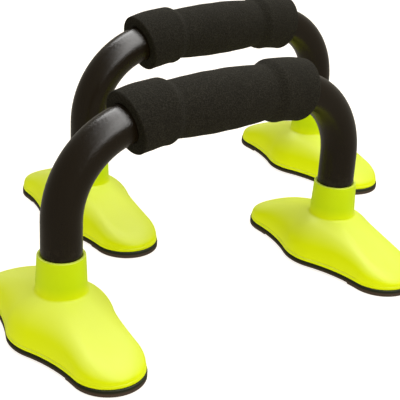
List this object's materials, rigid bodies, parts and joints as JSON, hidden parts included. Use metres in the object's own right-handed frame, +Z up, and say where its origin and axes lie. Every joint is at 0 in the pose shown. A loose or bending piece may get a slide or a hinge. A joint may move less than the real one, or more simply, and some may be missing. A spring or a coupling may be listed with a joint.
{
  "type": "parallette bar",
  "caption": "Low push-up parallette bars: a bent black steel tube with a foam grip on long lime plastic feet with treaded rubber soles, set down side by side.",
  "frame": {"origin": "on the floor, midway between the bars: the centre of the underside of the box round both", "axes": "+X along the bars, +Y across them from the front bar to the rear bar, +Z up from the floor"},
  "size_m": [0.384, 0.2856, 0.1513],
  "materials": {
    "black_coat": "satin black powder coat on steel tube",
    "foam": "matt charcoal closed-cell foam with a fine grain",
    "lime_plastic": "glossy moulded lime-yellow plastic",
    "sole_rubber": "matt black moulded rubber",
    "plug_plastic": "matt black moulded plastic",
    "zinc_steel": "bright zinc plate on steel"
  },
  "bodies": {
    "front_bar": {"front_tube": "black_coat", "front_grip": "foam", "front_left_shell": "lime_plastic", "front_left_sole": "sole_rubber", "front_left_plug": "plug_plastic", "front_left_washer": "zinc_steel", "front_left_screw": "zinc_steel", "front_right_shell": "lime_plastic", "front_right_sole": "sole_rubber", "front_right_plug": "plug_plastic", "front_right_washer": "zinc_steel", "front_right_screw": "zinc_steel"},
    "rear_bar": {"rear_tube": "black_coat", "rear_grip": "foam", "rear_left_shell": "lime_plastic", "rear_left_sole": "sole_rubber", "rear_left_plug": "plug_plastic", "rear_left_washer": "zinc_steel", "rear_left_screw": "zinc_steel", "rear_right_shell": "lime_plastic", "rear_right_sole": "sole_rubber", "rear_right_plug": "plug_plastic", "rear_right_washer": "zinc_steel", "rear_right_screw": "zinc_steel"}
  },
  "joints": [
    {"name": "bar_spacing", "type": "slide", "parent": "front_bar", "child": "rear_bar", "axis": [0, 1, 0], "range_m": [-0.045, 0.365]}
  ]
}
